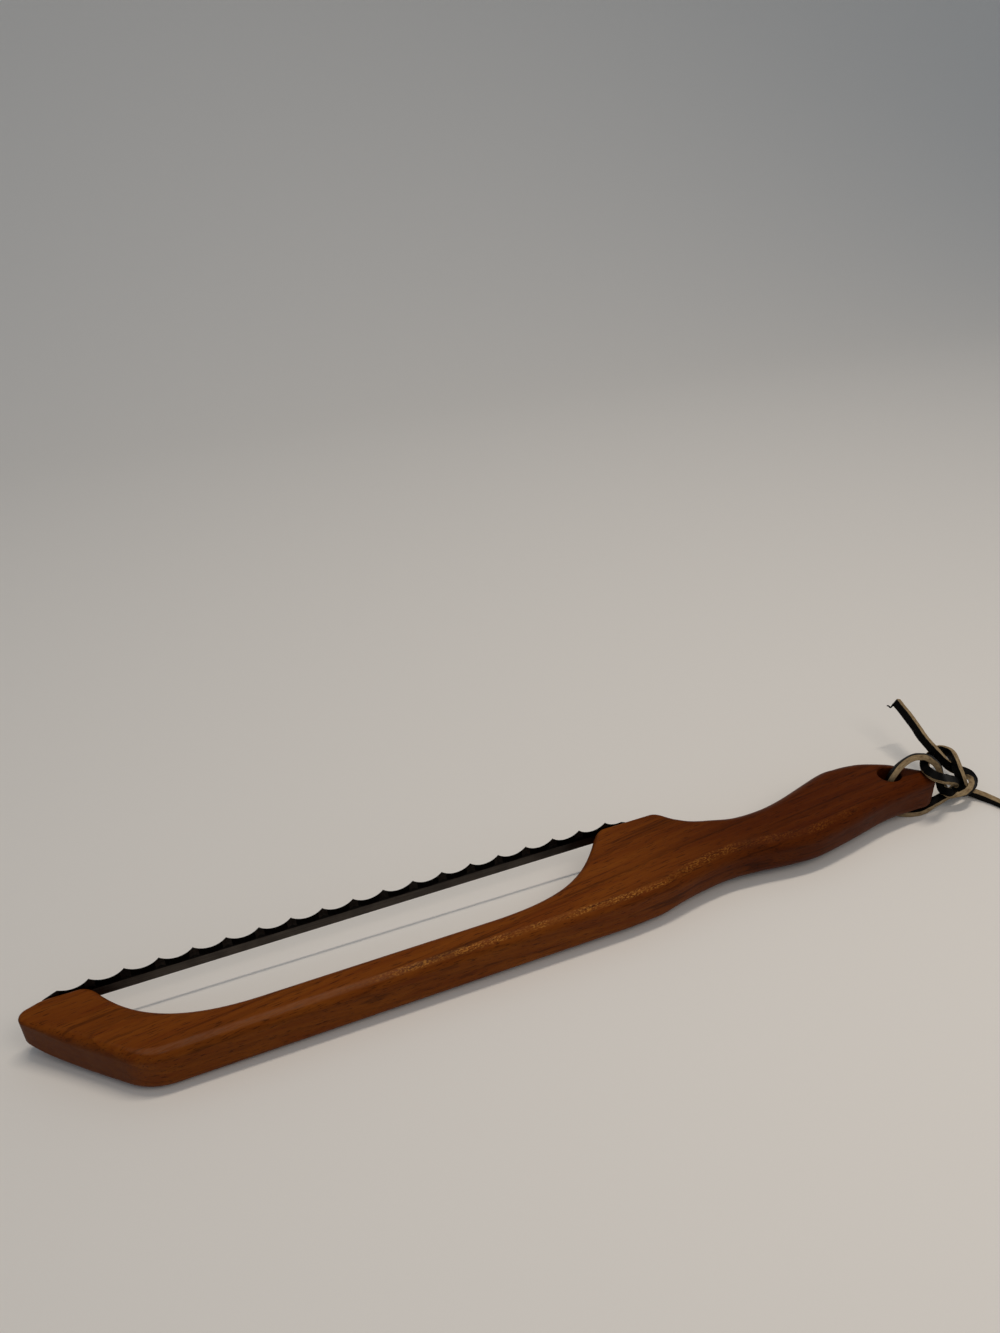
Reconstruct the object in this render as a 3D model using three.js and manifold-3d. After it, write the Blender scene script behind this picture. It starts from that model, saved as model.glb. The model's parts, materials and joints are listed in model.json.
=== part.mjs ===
// Bread bow knife: a hardwood bow with a scalloped blade screwed across its two ends, and a leather lace
// tied through the handle. Millimetres, +Z up, lying as it rests on a table with the handle on its lace.
// +X runs along the blade to the handle, +Y is the blade's side.

import * as THREE from 'three';
import { mergeVertices } from 'three/addons/utils/BufferGeometryUtils.js';
import Module from 'manifold-3d';

const wasm = await Module();
wasm.setup();

// Board: one piece of wood
const boardThickness = 19;
const bowSpan = 210.8; // clear opening along the blade, between the two lands that carry it
const bowDepth = 43.4; // from the lands to the back of the bar
const barWidth = 14;
const frontLand = 33.5; // to the sharp corner where its line meets the slanted front end
const rearLand = 28.7;
const handleLength = 135; // behind the rear land

// Board: slopes and corners of the outline
const frontSlant = 42.1; // degrees between the front end and the blade
const frontEntry = 57; // degrees between the blade and the opening's front end
const rearEntry = 53;
const shoulderSlant = 38.5;
const noseFlat = 17; // of the front land, up to where the nose slopes away
const noseSlant = 22;
const noseCorner = 3.9;
const noseTopCorner = 12;
const backCorner = 24; // where the front end meets the back of the bar
const landCorner = 8;
const shoulderCorner = 6;
const entryStraight = 4.5; // straight stretch of the opening's ends next to each land
const frontSweep = 58; // length over which the opening curves into the bar
const rearSweep = 62;
const frontArms = [17.5, 32]; // pull of the curve at the land, and along the bar
const rearArms = [24, 33];

// Board: radius of the rounded edges
const landRound = 1.4; // rear land and shoulder
const noseRound = 2.2; // front land and nose
const entryRound = 3.4; // ends of the opening
const frontRound = 4.5;
const barRound = 4.5;
const handleRound = 6.5;
const endRound = 4.2; // corner of the handle's end

// Board: the underside curves up to the nose
const noseRelief = 41; // where that curve starts, from the front's sharp corner
const noseReliefRadius = 60;

// Handle sides as stations: distance behind the rear land, and distance in from the line of the bar's back
// or from the line of the lands
const nearSide = [[-33, 0], [-14, 1.4], [2.5, 4.4], [18.5, 6.1], [33.5, 5], [48.5, 3], [62.5, 2.4]];
const farSide = [[56.5, 12.5], [40.5, 14.6], [26.5, 13.4], [14, 10]];
const shoulderStraight = 10;
// Handle swell and end: distance in from the end, and distance in from the line of the lands
const endCurve = [
  [53.5, 38.2], [32.5, 34.2], [19, 32.7], [9.6, 32.2], [3.4, 31.7], [0.2, 28.7], [1.2, 24.4], [5.2, 19.7],
  [9.9, 15.5], [14.8, 11.2], [25, 6.2], [32.5, 4.4], [40.5, 3.8], [50.5, 4.5]];

// Hanging hole
const holeDiameter = 10.7;
const holeFromEnd = 21;
const holeFromLands = 21;
const holeRim = 0.9; // radius of its broken edge

// Blade
const bladeLength = 244;
const bladeOverhang = 17; // of its front end past the opening
const bladeWidth = 9.5;
const bladeThickness = 0.6;
const toothProud = 1.8; // how far the tooth tips stand above the board
const toothPitch = 12.7;
const gulletDepth = 2.6;
const bevelWidth = 2.6; // ground band along the scallops, on the side of the bar
const clipLength = 8.3; // of the corner taken off each end
const clipDrop = 3.7;

// Blade screws
const screwShank = 2.9;
const screwLength = 15;
const screwTip = 4; // length of the point
const screwHead = 5.8;
const screwHeadHeight = 1.9;
const screwInset = 7.5; // from each end of the blade
const screwAboveBack = 2.6; // from the back of the blade to the screw's axis
const driveWidth = 0.9;
const driveLength = 3.6;
const driveDepth = 1;
const pilotSpare = 1; // empty depth past the screw's point

// Clearances
const seatGap = 0.3; // between pieces that are clamped face to face
const boreGap = 0.3; // around a screw in its hole

// Leather lace
const laceDiameter = 3;
const laceGap = 0.4; // under the handle, where the lace holds it off the table
const laceSides = 8;
// Its two ends, from the middle of the hole, measured from the hole's axis and up from the table
const upperEnd = [
  [0.4, 0.2, 13.4], [0.3, 0, 15.6], [-0.4, -1, 18.4], [-0.8, -1.8, 21], [0.3, -2.1, 23.7],
  [3.2, -1.8, 26.4], [6.8, -1.9, 28.7], [10.9, -1.9, 29.5], [14.6, -2.3, 29.2], [17.9, -2.8, 28],
  [21.6, -3.4, 25.5], [25.2, -3.6, 21.7], [28.4, -3.1, 17.2], [29.7, -3.3, 13.6], [29.2, -4.7, 10.8],
  [28.5, -7.3, 9.3], [29.5, -10, 8.8], [32.2, -11.5, 8.4], [35.4, -12.1, 8.1], [39, -11.8, 8],
  [43.4, -10, 7.9], [47.2, -7.3, 7.7], [49.6, -4.2, 7.6], [50.1, -1.2, 7.8], [48.9, 1.2, 8.2],
  [46.7, 2.6, 8.6], [44.7, 4, 9.4], [42.6, 5.8, 11.2], [40.4, 8, 14], [39, 11.4, 16.4],
  [38.6, 15.8, 18], [38.6, 20.6, 19.6], [39.4, 26, 21.4], [40.4, 34.4, 23.8], [41.3, 43.4, 26]];
const lowerEnd = [
  [0.4, 0.2, 12.8], [0.3, 0.3, 11], [-0.5, 0.9, 8.4], [-0.7, 0.8, 5.8], [0.9, -0.7, 3.2],
  [3.8, -3.2, 1.8], [8, -6.4, 1.5], [13.5, -8, 1.5], [18.2, -8.1, 1.6], [22.8, -7.8, 3.2],
  [27, -7.8, 4.4], [31, -7.4, 5], [34.8, -6.8, 5.2], [37.6, -6.3, 6.2], [38.3, -6.1, 8.4],
  [36.3, -6.2, 10.8], [31.1, -7.9, 14.3], [23.9, -10.9, 19.3], [17.6, -13.1, 23.4], [15.3, -11.4, 24.3],
  [15.1, -8.5, 24.4], [16, -5, 24.4], [18.9, -1.7, 24.4], [23.7, 2.3, 21.5], [34.5, 10.3, 14.5],
  [41.5, 14.5, 12], [45.6, 16.4, 11.6], [48.6, 16.6, 11.3], [50.4, 14.7, 11.3], [50.2, 11.8, 11.7],
  [48.8, 8.9, 12.2], [46.9, 6, 12.8], [44.7, 2.9, 13.2], [42.2, -1.2, 12.9], [41.5, -4.5, 10.7],
  [42.3, -6, 7.2], [43.8, -7.3, 4.6], [45.6, -8.8, 3.4], [47.5, -10.4, 2.8], [49.6, -13, 2.3],
  [51.8, -16.6, 1.8], [53.4, -20.2, 1.6], [56.8, -30, 1.6]];

const degrees = Math.PI / 180;
const down = (angle, towards = 1) =>
  new THREE.Vector2(towards * Math.cos(angle * degrees), -Math.sin(angle * degrees));

// Solids

function solidOf(geometry) {
  const bare = geometry.clone();
  bare.deleteAttribute('normal');
  bare.deleteAttribute('uv');
  const merged = mergeVertices(bare, 1e-4);
  return new wasm.Manifold(new wasm.Mesh({
    numProp: 3,
    vertProperties: new Float32Array(merged.attributes.position.array),
    triVerts: new Uint32Array(merged.index.array),
  }));
}

function geometryOf(solid) {
  const mesh = solid.getMesh();
  const geometry = new THREE.BufferGeometry();
  geometry.setAttribute('position', new THREE.BufferAttribute(mesh.vertProperties, 3));
  geometry.setIndex(new THREE.BufferAttribute(mesh.triVerts, 1));
  geometry.computeVertexNormals();
  return geometry;
}

function cut(geometry, cutters) {
  let solid = solidOf(geometry);
  for (const cutter of cutters) {
    solid = solid.subtract(solidOf(cutter));
  }
  return geometryOf(solid);
}

// A lathe profile turned about Z, given as [radius, height] from the bottom up
function turned(profile, segments) {
  const points = profile.map(([r, z]) => new THREE.Vector2(r, z));
  return new THREE.LatheGeometry(points, segments).rotateX(Math.PI / 2);
}

// Outlines

// An arc of the given radius that rounds the corner of the two lines from corner to a and to b
function cornerArc(a, corner, b, radius) {
  const toA = a.clone().sub(corner).normalize();
  const toB = b.clone().sub(corner).normalize();
  const half = Math.acos(toA.dot(toB)) / 2;
  const centre = toA.clone().add(toB).normalize().multiplyScalar(radius / Math.sin(half)).add(corner);
  const start = toA.clone().multiplyScalar(radius / Math.tan(half)).add(corner).sub(centre);
  const end = toB.clone().multiplyScalar(radius / Math.tan(half)).add(corner).sub(centre);
  return new THREE.EllipseCurve(
    centre.x, centre.y, radius, radius, start.angle(), end.angle(), start.cross(end) < 0);
}

// The points of runs of curves, without their last points, each with the edge radius at even stops along it
function outlineOf(runs) {
  return runs.flatMap(([curve, count, rounds]) =>
    curve.getSpacedPoints(count).slice(0, -1).map((point, i) => {
      const along = (i / count) * (rounds.length - 1);
      const stop = Math.floor(along);
      const share = THREE.MathUtils.smoothstep(along - stop, 0, 1);
      return { point, round: THREE.MathUtils.lerp(rounds[stop], rounds[stop + 1], share) };
    }));
}

// A flat slab of a counterclockwise outline, its upper and lower edges rounded by each point's own radius
function roundedSlab(outline, thickness, steps) {
  const count = outline.length;
  const insets = outline.map(({ point }, i) => {
    const before = outline[(i + count - 1) % count].point;
    const after = outline[(i + 1) % count].point;
    const along = after.clone().sub(before).normalize();
    return new THREE.Vector2(-along.y, along.x);
  });
  const ring = (angle, upper) => outline.map(({ point, round }, i) => {
    const inner = point.clone().addScaledVector(insets[i], round * (1 - Math.cos(angle)));
    const depth = round * (1 - Math.sin(angle));
    return [inner.x, inner.y, upper ? thickness - depth : depth];
  });
  const rings = [];
  for (let k = 0; k <= steps; k++) {
    rings.push(ring((1 - k / steps) * Math.PI / 2, false));
  }
  for (let k = 0; k <= steps; k++) {
    rings.push(ring((k / steps) * Math.PI / 2, true));
  }
  const index = [];
  for (let k = 0; k + 1 < rings.length; k++) {
    for (let i = 0; i < count; i++) {
      const a = k * count + i;
      const b = k * count + (i + 1) % count;
      index.push(a, b, b + count, a, b + count, a + count);
    }
  }
  const top = (rings.length - 1) * count;
  const flat = (points) => points.map(([x, y]) => new THREE.Vector2(x, y));
  const cap = (points) => THREE.ShapeUtils.triangulateShape(flat(points), []);
  for (const [a, b, c] of cap(rings[0])) {
    index.push(a, c, b);
  }
  for (const [a, b, c] of cap(rings[rings.length - 1])) {
    index.push(top + a, top + b, top + c);
  }
  const geometry = new THREE.BufferGeometry();
  geometry.setAttribute('position', new THREE.Float32BufferAttribute(rings.flat(2), 3));
  geometry.setIndex(index);
  return geometry;
}

// Board

const shoulder = bowSpan + rearLand;
const handleEnd = shoulder + handleLength;
const innerSide = bowDepth - barWidth;

function boardOutline() {
  const at = (x, y) => new THREE.Vector2(x, y);
  const noseTop = at(-noseFlat, 0);
  const slope = (frontLand - noseFlat) * Math.sin(frontSlant * degrees)
    / Math.sin((frontSlant + noseSlant) * degrees);
  const nose = down(noseSlant, -1).multiplyScalar(slope).add(noseTop);
  const back = at(-frontLand + bowDepth / Math.tan(frontSlant * degrees), -bowDepth);
  const near = nearSide.map(([x, inset]) => at(shoulder + x, inset - bowDepth));
  const end = endCurve.map(([x, inset]) => at(handleEnd - x, -inset));
  const far = farSide.map(([x, inset]) => at(shoulder + x, -inset));
  const shoulderTop = at(shoulder, 0);
  const shoulderFoot = down(shoulderSlant).multiplyScalar(shoulderStraight).add(shoulderTop);
  const rearTop = at(bowSpan, 0);
  const rearFoot = down(rearEntry, -1).multiplyScalar(entryStraight).add(rearTop);
  const frontTop = at(0, 0);
  const frontFoot = down(frontEntry).multiplyScalar(entryStraight).add(frontTop);

  const noseTopArc = cornerArc(frontTop, noseTop, nose, noseTopCorner);
  const noseArc = cornerArc(noseTop, nose, back, noseCorner);
  const backArc = cornerArc(nose, back, near[0], backCorner);
  const shoulderArc = cornerArc(shoulderFoot, shoulderTop, rearTop, shoulderCorner);
  const rearArc = cornerArc(shoulderTop, rearTop, rearFoot, landCorner);
  const frontArc = cornerArc(frontFoot, frontTop, noseTop, landCorner);
  const line = (from, to) => new THREE.LineCurve(from, to);
  const first = (curve) => curve.getPoint(0);
  const last = (curve) => curve.getPoint(1);

  const rearCurve = new THREE.CubicBezierCurve(
    rearFoot,
    down(rearEntry, -1).multiplyScalar(rearArms[0]).add(rearFoot),
    at(bowSpan - rearSweep + rearArms[1], -innerSide),
    at(bowSpan - rearSweep, -innerSide));
  const frontCurve = new THREE.CubicBezierCurve(
    at(frontSweep, -innerSide),
    at(frontSweep - frontArms[1], -innerSide),
    down(frontEntry).multiplyScalar(frontArms[0]).add(frontFoot),
    frontFoot);
  const handle = new THREE.SplineCurve([...near, ...end, ...far, shoulderFoot]);
  const handleRounds = [
    barRound, barRound, ...new Array(10).fill(handleRound), (handleRound + endRound) / 2, endRound,
    ...new Array(9).fill(handleRound), barRound, entryRound];

  return outlineOf([
    [noseArc, 10, [noseRound, noseRound]],
    [line(last(noseArc), first(backArc)), 10, [noseRound, frontRound, frontRound]],
    [backArc, 10, [frontRound, barRound]],
    [line(last(backArc), near[0]), 12, [barRound, barRound]],
    [handle, 88, handleRounds],
    [line(shoulderFoot, first(shoulderArc)), 5, [entryRound, landRound]],
    [shoulderArc, 8, [landRound, landRound]],
    [line(last(shoulderArc), first(rearArc)), 4, [landRound, landRound]],
    [rearArc, 6, [landRound, entryRound]],
    [line(last(rearArc), rearFoot), 2, [entryRound, entryRound]],
    [rearCurve, 26, [entryRound, barRound]],
    [line(last(rearCurve), first(frontCurve)), 6, [barRound, barRound]],
    [frontCurve, 26, [barRound, entryRound]],
    [line(frontFoot, first(frontArc)), 2, [entryRound, entryRound]],
    [frontArc, 6, [entryRound, noseRound]],
    [line(last(frontArc), first(noseTopArc)), 4, [noseRound, noseRound]],
    [noseTopArc, 4, [noseRound, noseRound]],
    [line(last(noseTopArc), first(noseArc)), 2, [noseRound, noseRound]],
  ]);
}

// The wood taken off under the nose, along the middle of its corner
function reliefCutter() {
  const past = 5;
  const profile = new THREE.Shape();
  profile.moveTo(past, -past).lineTo(noseRelief, -past);
  for (let k = 0; k <= 10; k++) {
    const along = (k / 10) * (noseRelief - past);
    profile.lineTo(noseRelief - along, noseReliefRadius - Math.sqrt(noseReliefRadius ** 2 - along ** 2));
  }
  profile.closePath();
  return new THREE.ExtrudeGeometry(profile, { depth: 2 * bowDepth, bevelEnabled: false })
    .translate(0, 0, -bowDepth)
    .rotateX(Math.PI / 2)
    .rotateZ(-frontSlant / 2 * degrees)
    .translate(-frontLand, 0, 0);
}

const holeAt = new THREE.Vector3(handleEnd - holeFromEnd, -holeFromLands, 0);

// The hanging hole with its broken edges, wider past both faces
function holeCutter() {
  const radius = holeDiameter / 2;
  const past = 1;
  const lower = [[0, -past], [radius + holeRim, -past]];
  const upper = [[radius + holeRim, boardThickness + past], [0, boardThickness + past]];
  for (let k = 0; k <= 3; k++) {
    const turn = (k / 3) * Math.PI / 2;
    const out = radius + holeRim * (1 - Math.sin(turn));
    const depth = holeRim * (1 - Math.cos(turn));
    lower.push([out, depth]);
    upper.unshift([out, boardThickness - depth]);
  }
  return turned([...lower, ...upper], 40).translate(holeAt.x, holeAt.y, 0);
}

// Blade: a strip standing on edge along the lands, scalloped by cones that also grind its bevel

const toothTip = boardThickness + toothProud;
const bladeBack = toothTip - bladeWidth;
const bladeInner = seatGap;
const bladeOuter = seatGap + bladeThickness;
const screwAxisAt = [-bladeOverhang + screwInset, -bladeOverhang + bladeLength - screwInset];
const screwHeight = bladeBack + screwAboveBack;

function bladeGeometry() {
  const strip = new THREE.BoxGeometry(bladeLength, bladeThickness, bladeWidth).translate(
    bladeLength / 2 - bladeOverhang, bladeInner + bladeThickness / 2, bladeBack + bladeWidth / 2);
  const chord = toothPitch / 2;
  const radius = (chord * chord + gulletDepth * gulletDepth) / (2 * gulletDepth);
  const slope = bevelWidth / bladeThickness;
  const past = 0.2;
  const cones = [];
  const firstTooth = Math.floor(-bladeOverhang / toothPitch);
  for (let k = firstTooth; k * toothPitch < bladeLength - bladeOverhang; k++) {
    cones.push(new THREE.CylinderGeometry(
      radius - past * slope, radius + (bladeThickness + past) * slope, bladeThickness + 2 * past, 72)
      .translate((k + 0.5) * toothPitch, bladeInner + bladeThickness / 2, toothTip - gulletDepth + radius));
  }
  const holes = screwAxisAt.map((x) => new THREE.CylinderGeometry(
    screwShank / 2 + boreGap, screwShank / 2 + boreGap, 4 * bladeThickness, 24)
    .translate(x, bladeInner, screwHeight));
  const clips = [[-bladeOverhang, 1], [bladeLength - bladeOverhang, -1]].map(([end, inwards]) => {
    const corner = new THREE.Shape();
    corner.moveTo(end - inwards, toothTip - clipDrop * (1 + 1 / clipLength));
    corner.lineTo(end + inwards * (clipLength + 1), toothTip + clipDrop / clipLength);
    corner.lineTo(end - inwards, toothTip + 1);
    return new THREE.ExtrudeGeometry(corner, { depth: 4 * bladeThickness, bevelEnabled: false })
      .translate(0, 0, -bladeOuter - bladeThickness).rotateX(Math.PI / 2);
  });
  return cut(strip, [...cones, ...holes, ...clips]);
}

// Screws: a domed head with a cross drive, pointing into the board

function screwGeometry() {
  const radius = screwShank / 2;
  const body = [[0, -screwLength], [radius, screwTip - screwLength], [radius, 0], [screwHead / 2, 0]];
  for (let k = 0; k <= 5; k++) {
    const turn = (k / 5) * Math.PI / 2;
    body.push([screwHead / 2 * Math.cos(turn), screwHeadHeight * (0.3 + 0.7 * Math.sin(turn))]);
  }
  body[body.length - 1][0] = 0;
  const drive = (length, width) =>
    new THREE.BoxGeometry(length, width, 2 * driveDepth).translate(0, 0, screwHeadHeight);
  return cut(turned(body, 24), [drive(driveLength, driveWidth), drive(driveWidth, driveLength)]);
}

const screwSeat = bladeOuter + seatGap;
const pilotDepth = screwLength - screwSeat + pilotSpare;

function pilotCutter(x) {
  const radius = screwShank / 2 + boreGap;
  const past = 1;
  return new THREE.CylinderGeometry(radius, radius, pilotDepth + past, 24)
    .translate(x, (past - pilotDepth) / 2, screwHeight);
}

// Lace: two ends from the middle of the hole, one over and one under the handle, tied together past its end

function tube(points, diameter) {
  const section = new THREE.Shape();
  for (let k = 0; k < laceSides; k++) {
    const turn = ((k + 0.5) / laceSides) * 2 * Math.PI;
    section[k === 0 ? 'moveTo' : 'lineTo'](diameter / 2 * Math.cos(turn), diameter / 2 * Math.sin(turn));
  }
  section.closePath();
  const path = new THREE.CatmullRomCurve3(points.map((p) => new THREE.Vector3(...p)));
  return new THREE.ExtrudeGeometry(section, { extrudePath: path, steps: 80, bevelEnabled: false });
}

// Scene

const wood = new THREE.MeshStandardMaterial({ color: 0x5e2f17, roughness: 0.42, metalness: 0 });
const bluedSteel = new THREE.MeshStandardMaterial({ color: 0x2c2a28, roughness: 0.4, metalness: 0.9 });
const screwSteel = new THREE.MeshStandardMaterial({ color: 0x8d8a84, roughness: 0.35, metalness: 1 });
const leather = new THREE.MeshStandardMaterial({ color: 0x15110e, roughness: 0.6, metalness: 0 });

function named(name, geometry, material) {
  const mesh = new THREE.Mesh(geometry, material);
  mesh.name = name;
  return mesh;
}

const rigid = new THREE.Group();
rigid.add(named('bow_frame', cut(roundedSlab(boardOutline(), boardThickness, 4), [
  holeCutter(),
  reliefCutter(),
  ...screwAxisAt.map(pilotCutter),
]), wood));
rigid.add(named('scalloped_blade', bladeGeometry(), bluedSteel));
['front_blade_screw', 'rear_blade_screw'].forEach((name, i) => {
  const screw = named(name, screwGeometry(), screwSteel.clone());
  screw.rotation.x = -Math.PI / 2;
  screw.position.set(screwAxisAt[i], screwSeat, screwHeight);
  rigid.add(screw);
});

// At rest the board leans on the lower edge of its slanted front end and on the lace under its handle
const frontEdge = new THREE.Vector3(Math.cos(frontSlant * degrees), -Math.sin(frontSlant * degrees), 0);
const fromFrontEdge = holeAt.clone().sub(new THREE.Vector3(-frontLand, 0, 0)).cross(frontEdge).length();
const restTilt = Math.asin((laceDiameter + laceGap) / fromFrontEdge);
rigid.quaternion.setFromAxisAngle(frontEdge, restTilt);

const knife = new THREE.Group();
knife.add(rigid);
const box = new THREE.Box3().setFromObject(knife, true);
rigid.position.set(-(box.min.x + box.max.x) / 2, -(box.min.y + box.max.y) / 2, -box.min.z);
knife.updateMatrixWorld(true);

// The lace is measured from where the hole's axis meets the table
const holeAxis = new THREE.Vector3(0, 0, 1).transformDirection(rigid.matrixWorld);
const holeFoot = holeAt.clone().applyMatrix4(rigid.matrixWorld);
holeFoot.addScaledVector(holeAxis, -holeFoot.z / holeAxis.z);
[['lace_upper', upperEnd], ['lace_lower', lowerEnd]].forEach(([name, points]) => {
  const strand = named(name, tube(points, laceDiameter), leather.clone());
  strand.position.copy(holeFoot);
  knife.add(strand);
});
knife.updateMatrixWorld(true);

export default knife;
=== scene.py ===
import json
import math

import bmesh
import bpy
from mathutils import Matrix, Vector


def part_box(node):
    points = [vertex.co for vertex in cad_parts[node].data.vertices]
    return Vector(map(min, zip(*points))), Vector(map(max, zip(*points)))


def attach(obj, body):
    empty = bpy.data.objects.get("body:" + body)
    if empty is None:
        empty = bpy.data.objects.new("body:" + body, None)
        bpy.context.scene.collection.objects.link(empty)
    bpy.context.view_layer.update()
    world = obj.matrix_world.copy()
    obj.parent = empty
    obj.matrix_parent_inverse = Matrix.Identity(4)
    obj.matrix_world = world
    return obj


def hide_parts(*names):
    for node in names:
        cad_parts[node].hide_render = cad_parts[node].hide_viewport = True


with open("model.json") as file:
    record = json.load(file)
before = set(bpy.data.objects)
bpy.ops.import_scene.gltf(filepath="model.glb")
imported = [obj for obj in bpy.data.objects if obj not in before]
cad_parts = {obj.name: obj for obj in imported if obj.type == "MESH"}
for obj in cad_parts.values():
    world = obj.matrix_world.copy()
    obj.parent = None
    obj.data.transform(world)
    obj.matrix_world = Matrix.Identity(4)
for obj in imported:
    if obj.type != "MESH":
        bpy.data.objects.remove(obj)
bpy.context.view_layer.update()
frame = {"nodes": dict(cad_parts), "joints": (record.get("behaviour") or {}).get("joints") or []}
scene = bpy.context.scene
scene.view_settings.view_transform = "Standard"
mm = 0.001
print("frame loaded:", ", ".join(sorted(frame["nodes"])))


def linear(colour):  # sRGB hex to linear
    channels = [int(colour[i:i + 2], 16) / 255 for i in (1, 3, 5)]
    return [c / 12.92 if c <= 0.04045 else ((c + 0.055) / 1.055) ** 2.4 for c in channels] + [1.0]


def connect(material, node, links):
    for key, source in links.items():
        material.node_tree.links.new(source, node.inputs[key])


def addNode(material, kind, settings=None, links=None):
    node = material.node_tree.nodes.new(kind)
    for key, value in (settings or {}).items():
        if key == "stops":  # colour ramp: place and colour of each stop
            while len(node.color_ramp.elements) < len(value):
                node.color_ramp.elements.new(1)
            for stop, (place, colour) in zip(node.color_ramp.elements, value):
                stop.position, stop.color = place, colour
        elif isinstance(key, int) or key in node.inputs:
            node.inputs[key].default_value = value
        else:
            setattr(node, key, value)
    connect(material, node, links or {})
    return node


eased = {"interpolation_type": "SMOOTHSTEP"}  # for shares that change softly


def newMaterial(name):
    material = bpy.data.materials.new(name)
    material.use_nodes = True
    return material, material.node_tree.nodes["Principled BSDF"]


def newPiece(name, verts, faces, material):
    mesh = bpy.data.meshes.new(name)
    mesh.from_pydata([tuple(v) for v in verts], [], faces)
    mesh.validate()
    mesh.materials.append(material)
    piece = bpy.data.objects.new(name, mesh)
    scene.collection.objects.link(piece)
    return piece


def ringFaces(rings, count, closed=True):  # a skin over rings of points, and a face over each end
    faces = []
    for k in range(rings - 1):
        for i in range(count):
            j = (i + 1) % count
            faces.append((k * count + i, k * count + j, (k + 1) * count + j, (k + 1) * count + i))
    if closed:
        faces += [tuple(range(count))[::-1], tuple(range((rings - 1) * count, rings * count))]
    return faces


def smoothShade(piece, sharpAngle):
    piece.data.shade_smooth()
    piece.data.set_sharp_from_angle(angle=math.radians(sharpAngle))
    evenNormals = piece.modifiers.new("evenNormals", "WEIGHTED_NORMAL")  # keeps broad flats flat
    evenNormals.keep_sharp = True


# Camera: above the front end, looking along the knife to its handle
cameraView = {
    "place": (-0.12688, -0.28374, 0.30515),
    "lookAt": (0.0598, 0.18745, 0.01),
    "roll": -1.66,  # degrees
    "lens": 27.03,  # on a frame 36 mm high
}


def addCamera(view):
    data = bpy.data.cameras.new("camera")
    data.sensor_fit = "VERTICAL"
    data.sensor_height = data.sensor_width = 36
    data.lens = view["lens"]
    camera = bpy.data.objects.new("camera", data)
    scene.collection.objects.link(camera)
    camera.location = view["place"]
    ahead = Vector(view["lookAt"]) - camera.location
    roll = Matrix.Rotation(math.radians(view["roll"]), 3, "Z")
    camera.rotation_euler = (ahead.to_track_quat("-Z", "Y").to_matrix() @ roll).to_euler()
    scene.camera = camera


addCamera(cameraView)
print("camera placed")

# Where the board lies: the hole's axis is the lace's hinge, and the board leans with it
swing = frame["joints"][0]
holeFoot = Vector(swing["pos_m"])
boardUp = Vector(swing["axis"]).normalized()

# Lace: one leather strip, cut square from a black dyed hide, so two faces are black and two are tan
laceLook = {
    "width": 4.2 * mm,  # across the black faces
    "thickness": 2.8 * mm,  # across the tan cut sides
    "corner": 0.35 * mm,
    "crown": 0.06 * mm,
    "ringsPerPoint": 7,
    "blackDye": "#020202",
    "wornDye": "#080605",
    "tanCut": "#a08a68",
    "tanDeep": "#5f4a33",
    "grainSize": 0.55,  # mm, real grain is nearer 0.2 and wouldn't show
    "bleedSize": 0.9,  # mm, how ragged the dye's edge is
    "unevenCut": [(0.025, 0.55, 0), (0.015, 1.7, 1)],  # share of the width, turn per mm, start (radians)
    "fibresAround": 22, "fibresPerMetre": 330,  # on the tan sides, about 3 mm long
    "endWear": 0.86, "endBulge": 0.12 * mm,  # of the cut ends
    "tableGap": 0.02 * mm,
    "front": (-0.63, -0.54, 0.56),  # where the turns of the strip are measured from
    "frayed": [(0.6, -0.4, -0.6), (-1.3, 0.1, -0.9), (-2.4, 0, -1.9), (-3.4, -0.1, -2.3),
               (-4.3, 0.7, -1.5), (-4.9, 0.9, -1.6)],  # mm from the upper tip, a fibre torn loose
    "frayedWidth": 1.3 * mm, "frayedTaper": 0.6,
}
# Routes from the middle of the hole, in metres from the hole's foot on the table, and at some of their
# points how far the tan cut is turned from the front to the right of the way the strip runs (degrees)
upperRoute = [
    (0.0004, 0.0002, 0.0134), (0.0003, 0.0, 0.0156), (-0.0004, -0.001, 0.0184),
    (-0.0008, -0.0018, 0.021), (0.0003, -0.0021, 0.0237), (0.0032, -0.0018, 0.0264),
    (0.0068, -0.0019, 0.0287), (0.0109, -0.0019, 0.0295), (0.0146, -0.0023, 0.0292),
    (0.0179, -0.0028, 0.028), (0.0216, -0.0034, 0.0255), (0.0252, -0.0036, 0.0217),
    (0.0284, -0.0031, 0.0172), (0.0297, -0.0033, 0.0136), (0.0292, -0.0047, 0.0108),
    (0.0285, -0.0073, 0.0093), (0.0295, -0.01, 0.0088), (0.0322, -0.0115, 0.0084),
    (0.0354, -0.0121, 0.0081), (0.039, -0.0118, 0.008), (0.0434, -0.01, 0.0079),
    (0.0472, -0.0073, 0.0077), (0.0496, -0.0042, 0.0076), (0.0501, -0.0012, 0.0078),
    (0.0489, 0.0012, 0.0082), (0.0467, 0.0026, 0.0086), (0.0447, 0.004, 0.0094),
    (0.0426, 0.0058, 0.0112), (0.0404, 0.008, 0.014), (0.039, 0.0114, 0.0164),
    (0.0386, 0.0158, 0.018), (0.0386, 0.0206, 0.0196), (0.0394, 0.026, 0.0214),
    (0.0404, 0.0344, 0.0238), (0.0413, 0.0434, 0.026)]
upperTan = {
    0: 30, 3: 24, 6: 13, 8: 11, 10: 14, 12: 8, 14: -70, 15: -66, 16: 76, 17: 8, 18: -4, 19: -14, 20: -24,
    21: -32, 22: -44, 23: -62, 24: -78, 26: 92, 27: 84, 28: 68, 29: 60, 34: 60}
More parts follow.
